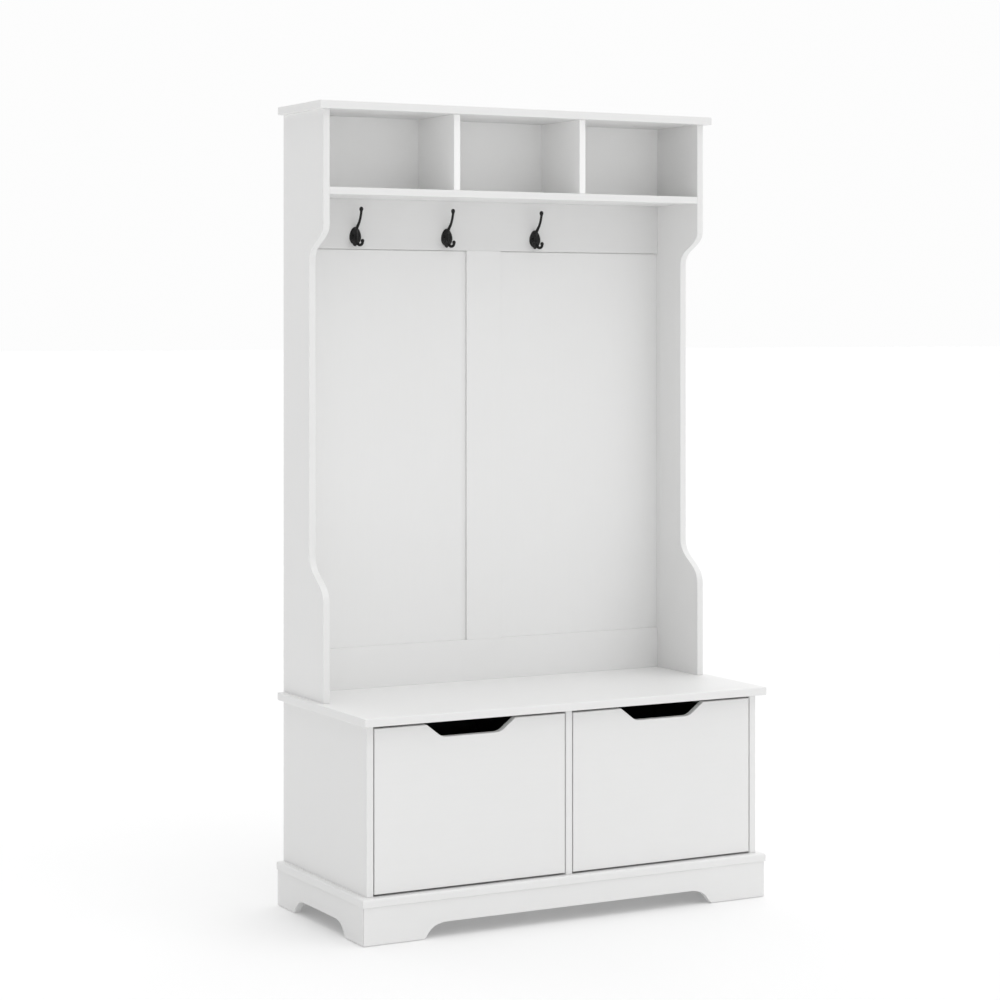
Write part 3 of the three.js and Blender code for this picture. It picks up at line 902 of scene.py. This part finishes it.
@dataclass
class Drawer(SubAssembly):
    """One drawer: its front with the finger cut-out and its box in black, a guessed finish that paints the
    shade seen through the cut-out.

    Attributes:
        side: which of the two drawers it is.
        edge: edges of the front.
        box_edge: edges of the box.
    """

    side: Side
    edge: Easing = Easing(shown=1.2 * MM)
    box_edge: Easing = Easing(shown=0.8 * MM)

    def build(self) -> None:
        """Builds the front and the box."""
        self.board(f"{self.side}_drawer_front", Stroke.ALONG_X, (FRONT,), self.edge)
        # The box is black, which paints the shade seen through the finger cut-out.
        for part in ("side_left", "side_right", "bottom", "back"):
            node = f"{self.side}_drawer_{part}"
            made = self.eased(node, "shade_lined", (UP,), self.box_edge)
            self.dress(made, self.finishes.lining, "lining", node)


@dataclass
class SlideMembers(SubAssembly):
    """The members of a drawer's two slides that ride on one body.

    Attributes:
        side: which drawer they belong to.
        member: which members they are.
        edge: edges of the rolled strip.
    """

    side: Side
    member: Member
    edge: Easing = Easing(joined=0.25 * MM)

    def build(self) -> None:
        """Builds the left and the right member."""
        for hand in Side:
            self.steel_piece(f"{self.side}_slide_{hand}_{self.member}_member", "rolled", self.edge)


@dataclass(frozen=True)
class HookShape:
    """The sizes of a cast hook about the centre of the back of its plate, in millimetres.

    Attributes:
        plate: half width, bulge and half height of the egg-shaped plate.
        taper: share by which the plate narrows towards its top.
        spine: half width, bulge and half height of the ridge down its middle.
        long_route: centre line of the long prong.
        long_radii: its radius at each point.
        long_tip: half sizes of its knob.
        long_knob: the knob's centre.
        short_route: centre line of the right-hand short prong.
        short_radii: its radius at each point.
        short_tip: half sizes of its knob.
        short_knob: the knob's centre.
        voxel: grain of the casting's blended surface.
        smoothing: how often that surface is smoothed.
        seat_radius: radius of the hole that a screw's head sits in.
        seat_depth: how far in front of the plate's back that hole ends.
        hole_radius: radius of the hole for a screw's shank.
    """

    plate: tuple = (14.5, 7.0, 20.5)
    taper: float = 0.16
    spine: tuple = (3.4, 9.8, 18.5)
    long_route: tuple = (
        (0, -3, 9),
        (0, -9.5, 18),
        (0, -20.5, 29),
        (0, -28, 41),
        (0, -31.8, 52),
        (0, -32.5, 57),
    )
    long_radii: tuple = (4.4, 3.6, 3.1, 2.9, 2.9, 3.8)
    long_tip: tuple = (4.7, 4.7, 5.7)
    long_knob: tuple = (0, -32.5, 59.5)
    short_route: tuple = (
        (0, -5, -11),
        (3.5, -9.5, -19.5),
        (7.6, -13.5, -21.0),
        (10.6, -15.5, -17.5),
        (11.2, -15.5, -13.5),
    )
    short_radii: tuple = (3.8, 3.5, 3.3, 3.2, 3.4)
    short_tip: tuple = (4.2, 4.2, 4.6)
    short_knob: tuple = (11.2, -15.5, -11.8)
    voxel: float = 0.5
    smoothing: int = 5
    seat_radius: float = 3.35
    seat_depth: float = 2.5
    hole_radius: float = 2.05


@dataclass(frozen=True)
class ScrewShape:
    """The sizes of a hook's screw besides its head's width and its length, in millimetres.

    Attributes:
        head: thickness of the head.
        dome: radius of the head's edge.
        dome_flats: flats in that round.
        shank: radius of the shank.
        shank_sides: sides of its section.
        slot: half width, depth and half length of each arm of the cross slot.
    """

    head: float = 2.0
    dome: float = 1.1
    dome_flats: int = 5
    shank: float = 1.75
    shank_sides: int = 24
    slot: tuple = (0.375, 1.1, 1.7)


def smooth_route(points: tuple, steps: int) -> list[Vector]:
    """Finds the points of a Catmull-Rom curve.

    Args:
        points: the points that it passes through.
        steps: how many stretches lie between two of them.

    Returns:
        The curve's points.
    """
    ends = [Vector(p) for p in (points[0], *points, points[-1])]
    route = []
    for a, b, c, d in zip(ends, ends[1:], ends[2:], ends[3:]):
        for step in range(steps):
            t = step / steps
            square, cube = t * t, t * t * t
            bend = (2 * a - 5 * b + 4 * c - d) * square + (3 * b - a - 3 * c + d) * cube
            route.append((2 * b + (c - a) * t + bend) / 2)
    return [*route, ends[-1]]


def sweep_round(
    mesh: bmesh.types.BMesh, points: tuple, radii: tuple, steps: int = 6, sides: int = 20
) -> None:
    """Adds a round bar by extruding a disc along a smooth route.

    Args:
        mesh: the mesh that gets the bar.
        points: the points that the route passes through.
        radii: the bar's radius at each of them.
        steps: stations between two points.
        sides: sides of the section.
    """
    route = smooth_route(points, steps)
    pairs = zip(radii, radii[1:])
    thickness = [a + (b - a) * step / steps for a, b in pairs for step in range(steps)] + [radii[-1]]
    disc = bmesh.ops.create_circle(mesh, cap_ends=True, radius=1.0, segments=sides)
    ring = disc["verts"]
    cap = ring[0].link_faces[0]
    turn = UP.rotation_difference(route[1] - route[0])
    place = Matrix.LocRotScale(route[0], turn, (thickness[0],) * 3)
    bmesh.ops.transform(mesh, matrix=place, verts=ring)
    for index in range(1, len(route)):
        ahead = route[min(index + 1, len(route) - 1)] - route[index - 1]
        turn = (turn @ UP).rotation_difference(ahead) @ turn
        grown = bmesh.ops.extrude_face_region(mesh, geom=[cap])["geom"]
        ring = [item for item in grown if isinstance(item, bmesh.types.BMVert)]
        cap = next(item for item in grown if isinstance(item, bmesh.types.BMFace))
        following = Matrix.LocRotScale(route[index], turn, (thickness[index],) * 3)
        bmesh.ops.transform(mesh, matrix=following @ place.inverted(), verts=ring)
        place = following


def add_ellipsoid(mesh: bmesh.types.BMesh, half: tuple, centre: tuple = (0, 0, 0)) -> list:
    """Adds an ellipsoid to a mesh.

    Args:
        mesh: the mesh that gets it.
        half: its half sizes.
        centre: its centre.

    Returns:
        Its vertices.
    """
    made = bmesh.ops.create_uvsphere(mesh, u_segments=BALL_SIDES, v_segments=BALL_RINGS, radius=1.0)
    bmesh.ops.scale(mesh, vec=half, verts=made["verts"])
    bmesh.ops.translate(mesh, vec=centre, verts=made["verts"])
    return made["verts"]


def add_bar(mesh: bmesh.types.BMesh, radius: float, centre: tuple, half: float, sides: int = 32) -> None:
    """Adds a closed cylinder along Y to a mesh.

    Args:
        mesh: the mesh that gets it.
        radius: its radius.
        centre: its centre.
        half: half its length.
        sides: sides of its section.
    """
    made = bmesh.ops.create_cone(
        mesh, cap_ends=True, segments=sides, radius1=radius, radius2=radius, depth=2 * half
    )
    place = Matrix.Translation(centre) @ Matrix.Rotation(math.pi / 2, 4, "X")
    bmesh.ops.transform(mesh, matrix=place, verts=made["verts"])


def bar_object(name: str, radius: float, centre: tuple, half: float) -> bpy.types.Object:
    """Makes an object of one closed cylinder along Y.

    Args:
        name: the object's name.
        radius: the cylinder's radius.
        centre: its centre.
        half: half its length.

    Returns:
        The new object.
    """
    mesh = bmesh.new()
    add_bar(mesh, radius, centre, half)
    return plain_object(mesh, name)


@dataclass
class CoatHooks(SubAssembly):
    """The row of cast hooks: domed plates with a spine, one long prong and two short curled ones.

    Attributes:
        count: how many hooks there are.
        shape: a casting's sizes.
        screw: a screw's sizes.
    """

    count: int = 3
    shape: HookShape = HookShape()
    screw: ScrewShape = ScrewShape()

    def build(self) -> None:
        """Builds every hook and its two screws from one casting and one screw."""
        screws = {
            number: [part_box(f"hook_{number}_screw_{hand}") for hand in Side]
            for number in range(1, self.count + 1)
        }
        left, right = screws[1]
        spread = (right[0].x + right[1].x - left[0].x - left[1].x) / 4
        casting = self._casting(spread / MM)
        screw = self._screw(left[1] - left[0])
        for number, (left, right) in screws.items():
            node = f"coat_hook_{number}"
            middle = (left[0] + right[1]) / 2
            seat = Vector((middle.x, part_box(node)[1].y, middle.z))
            self._copy(casting, f"{node}_cast", seat, node)
            for hand, box in zip(Side, (left, right)):
                place = Vector(((box[0].x + box[1].x) / 2, box[0].y, middle.z))
                name = f"hook_{number}_screw_{hand}"
                self._copy(screw, f"{name}_turned", place, name)
        for master in (casting, screw):
            bpy.data.objects.remove(master)

    def _copy(self, master: bpy.types.Object, name: str, place: Vector, node: str) -> None:
        """Puts one copy of a master piece in its place.

        Args:
            master: the piece, built about the origin in metres.
            name: the copy's name.
            place: where its origin goes.
            node: the frame's node that it stands for.
        """
        data = master.data.copy()
        data.transform(Matrix.Translation(place))
        data.name = name
        made = bpy.data.objects.new(name, data)
        bpy.context.scene.collection.objects.link(made)
        self.dress(made, self.finishes.iron, "hook_iron", node)

    def _casting(self, spread: float) -> bpy.types.Object:
        """Models one hook about the centre of the back of its plate.

        Args:
            spread: distance of each screw from the middle, in millimetres.

        Returns:
            The hook, in metres.
        """
        made = plain_object(self._rough_casting(), "hook_casting")
        blend = made.modifiers.new("blend", "REMESH")
        blend.mode = "VOXEL"
        blend.voxel_size = self.shape.voxel
        apply_modifiers(made)
        self._smooth_and_face_off(made.data)
        reach = self.shape.plate[2]
        seats = []
        for across in (-spread, spread):
            seat = (across, -reach - self.shape.seat_depth, 0)
            seats.append(bar_object("seat", self.shape.seat_radius, seat, reach))
            seats.append(bar_object("hole", self.shape.hole_radius, (across, 0, 0), reach))
        cut_away(made, seats)
        made.data.transform(Matrix.Scale(MM, 4))
        made.data.polygons.foreach_set("use_smooth", [True] * len(made.data.polygons))
        made.data.set_sharp_from_angle(angle=CREASE)
        return made

    def _rough_casting(self) -> bmesh.types.BMesh:
        """Puts a hook's plate, spine, prongs and knobs together, before they are blended into one.

        Returns:
            The overlapping parts in one mesh, in millimetres.
        """
        shape = self.shape
        mesh = bmesh.new()
        plate = add_ellipsoid(mesh, shape.plate)
        for vertex in plate:
            vertex.co.x *= 1.0 - shape.taper * vertex.co.z / shape.plate[2]
        add_ellipsoid(mesh, shape.spine)
        sweep_round(mesh, shape.long_route, shape.long_radii)
        add_ellipsoid(mesh, shape.long_tip, shape.long_knob)
        for side in (-1, 1):
            *route, knob = [(side * x, y, z) for x, y, z in (*shape.short_route, shape.short_knob)]
            sweep_round(mesh, tuple(route), shape.short_radii)
            add_ellipsoid(mesh, shape.short_tip, knob)
        bmesh.ops.recalc_face_normals(mesh, faces=mesh.faces)
        return mesh

    def _smooth_and_face_off(self, data: bpy.types.Mesh) -> None:
        """Smooths the blended casting and cuts its back flat, where it meets the rail.

        Args:
            data: the casting's mesh, which is changed.
        """
        mesh = bmesh.new()
        mesh.from_mesh(data)
        for _ in range(self.shape.smoothing):
            bmesh.ops.smooth_vert(
                mesh, verts=mesh.verts, factor=0.5, use_axis_x=True, use_axis_y=True, use_axis_z=True
            )
        bmesh.ops.bisect_plane(
            mesh,
            geom=[*mesh.verts, *mesh.edges, *mesh.faces],
            plane_co=(0, 0, 0),
            plane_no=(0, 1, 0),
            clear_outer=True,
        )
        bmesh.ops.holes_fill(mesh, edges=[edge for edge in mesh.edges if edge.is_boundary])
        mesh.to_mesh(data)
        mesh.free()

    def _screw(self, size: Vector) -> bpy.types.Object:
        """Models one screw with its head towards the front and its front at the origin.

        Args:
            size: the size of its node.

        Returns:
            The screw, in metres.
        """
        shape = self.screw
        middle = shape.head / 2
        mesh = bmesh.new()
        add_bar(mesh, size.x / 2 / MM, (0, middle, 0), middle)
        front = [edge for edge in mesh.edges if all(v.co.y < middle for v in edge.verts)]
        bevel(mesh, front, shape.dome, shape.dome_flats)
        half = (size.y / MM - shape.head) / 2
        add_bar(mesh, shape.shank, (0, shape.head + half, 0), half, shape.shank_sides)
        made = plain_object(mesh, "screw")
        across, depth, reach = shape.slot
        arms = []
        for corner in (Vector((across, depth, reach)), Vector((reach, depth, across))):
            arms.append(plain_object(block(-corner, corner), "arm"))
        cut_away(made, arms)
        made.data.transform(Matrix.Scale(MM, 4))
        made.data.set_sharp_from_angle(angle=CREASE)
        return made


# ---------------------------------------------------------------- studio
@dataclass(frozen=True)
class Lobe:
    """A side of the surroundings that is brighter or darker than the rest.

    Attributes:
        axis: the axis that it lies along.
        near: the direction's share of that axis where it begins.
        far: the share where it is strongest.
        gain: how much brighter it is there; below zero it is darker.
        high: whether it leaves the band along the horizon as it is.
    """

    axis: str
    near: float
    far: float
    gain: float
    high: bool = False


@dataclass
class Studio:
    """The floor, the soft light and the camera.

    Attributes:
        sky: brightness of the surroundings behind the piece.
        lobes: the sides of the surroundings that differ from it.
        horizon: the height of a direction where the band along the horizon begins to end, and where
            it has ended.
        lamp: strength of the wide overhead light.
        lamp_width: the angle that it fills, in degrees.
        lamp_turn: how it is turned about X and Y, in degrees.
        floor_glow: the floor's own brightness, which keeps shadows soft and pale.
        floor_tone: the floor's reflectance.
        floor_drift: the share by which that drifts either way.
        floor_size: half the floor's width.
        camera_place: where the camera stands.
        camera_turn: how it is turned about Z, in degrees.
        lens: its focal length, in millimetres.
        sensor: width of its sensor, in millimetres.
        shift_y: its upward shift, as a share of the picture's width.
        sight: how far it sees.
    """

    sky: float = 0.98
    lobes: tuple[Lobe, ...] = (
        Lobe("Y", near=-0.1, far=-1.0, gain=-0.28),
        Lobe("X", near=-0.1, far=-1.0, gain=-0.95, high=True),
        Lobe("X", near=0.66, far=1.0, gain=-0.7, high=True),
        Lobe("Z", near=0.15, far=1.0, gain=0.44),
    )
    horizon: tuple[float, float] = (0.13, 0.22)
    lamp: float = 0.4
    lamp_width: float = 70.0
    lamp_turn: tuple[float, float] = (28.0, 12.0)
    floor_glow: float = 0.145
    floor_tone: float = 0.8
    floor_drift: float = 0.01
    floor_size: float = 120.0
    camera_place: tuple[float, float, float] = (-2.8345, -5.116, 1.3082)
    camera_turn: float = -28.46
    lens: float = 92.716
    sensor: float = 36.0
    shift_y: float = -0.17464
    sight: float = 500.0

    def build(self) -> None:
        """Sets up the stage."""
        bpy.context.scene.view_settings.view_transform = "Standard"
        self._floor()
        self._world()
        self._lamp()
        self._camera()

    def _floor(self) -> None:
        """Lays a plain pale floor under the piece."""
        mesh = bmesh.new()
        bmesh.ops.create_grid(mesh, x_segments=1, y_segments=1, size=self.floor_size)
        data = bpy.data.meshes.new("studio_floor")
        mesh.to_mesh(data)
        mesh.free()
        floor = bpy.data.objects.new("studio_floor", data)
        bpy.context.scene.collection.objects.link(floor)
        material = bpy.data.materials.new("pale_floor")
        material.use_nodes = True
        sheet = Sheet(material.node_tree)
        shader = sheet.tree.nodes["Principled BSDF"]
        shader.inputs["Roughness"].default_value = 1.0
        shader.inputs["Specular IOR Level"].default_value = 0.0
        place = sheet.node("ShaderNodeTexCoord")
        tone = sheet.spread(sheet.noise(place.outputs["Object"], scale=0.7, detail=2.0))
        dark = grey(self.floor_tone * (1.0 - self.floor_drift))
        light = grey(self.floor_tone * (1.0 + self.floor_drift))
        sheet.join(sheet.mixed(tone, dark, light), shader.inputs["Base Color"])
        shader.inputs["Emission Color"].default_value = grey(1.0)
        shader.inputs["Emission Strength"].default_value = self.floor_glow
        data.materials.append(material)

    def _world(self) -> None:
        """Surrounds the piece with a pale sky: darker in front and high at the sides, bright overhead."""
        world = bpy.data.worlds.new("studio")
        bpy.context.scene.world = world
        world.use_nodes = True
        sheet = Sheet(world.node_tree)
        background = sheet.tree.nodes["Background"]
        background.inputs["Strength"].default_value = 1.0
        way = sheet.node("ShaderNodeTexCoord")
        axes = sheet.node("ShaderNodeSeparateXYZ")
        sheet.join(way.outputs["Generated"], axes.inputs["Vector"])
        level = self.sky
        above = sheet.share(axes.outputs["Z"], *self.horizon)
        for lobe in self.lobes:
            share = sheet.share(axes.outputs[lobe.axis], lobe.near, lobe.far)
            if lobe.high:
                share = sheet.maths("MULTIPLY", share, above)
            level = sheet.maths("ADD", level, sheet.maths("MULTIPLY", share, lobe.gain))
        colour = sheet.node("ShaderNodeCombineColor")
        for part in ("Red", "Green", "Blue"):
            sheet.join(level, colour.inputs[part])
        sheet.join(colour.outputs["Color"], background.inputs["Color"])

    def _lamp(self) -> None:
        """Hangs one very wide light above the piece, in front and to the right of it."""
        light = bpy.data.lights.new("overhead_soft_light", "SUN")
        light.energy = self.lamp
        light.angle = math.radians(self.lamp_width)
        lamp = bpy.data.objects.new("overhead_soft_light", light)
        lamp.rotation_euler = (*(math.radians(turn) for turn in self.lamp_turn), 0.0)
        bpy.context.scene.collection.objects.link(lamp)

    def _camera(self) -> None:
        """Places the level camera in front and to the left."""
        data = bpy.data.cameras.new("camera")
        data.lens = self.lens
        data.sensor_width = self.sensor
        data.shift_y = self.shift_y
        data.clip_end = self.sight
        camera = bpy.data.objects.new("camera", data)
        camera.location = self.camera_place
        camera.rotation_euler = (math.radians(90.0), 0.0, math.radians(self.camera_turn))
        bpy.context.scene.collection.objects.link(camera)
        bpy.context.scene.camera = camera


def main() -> None:
    """Builds the hall tree around the frame, and its studio."""
    logging.basicConfig(level=logging.INFO, format="%(name)s: %(message)s")
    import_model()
    finishes = Finishes()
    cabinet = "cabinet"
    assemblies = [UpperPart(cabinet, finishes), Base(cabinet, finishes), CoatHooks(cabinet, finishes)]
    for side in Side:
        drawer = f"{side}_drawer"
        assemblies.append(Drawer(drawer, finishes, side))
        for member, body in zip(Member, (cabinet, f"{side}_slide_middles", drawer)):
            assemblies.append(SlideMembers(body, finishes, side, member))
    for assembly in assemblies:
        assembly.build()
    Studio().build()


if __name__ == "__main__":
    main()
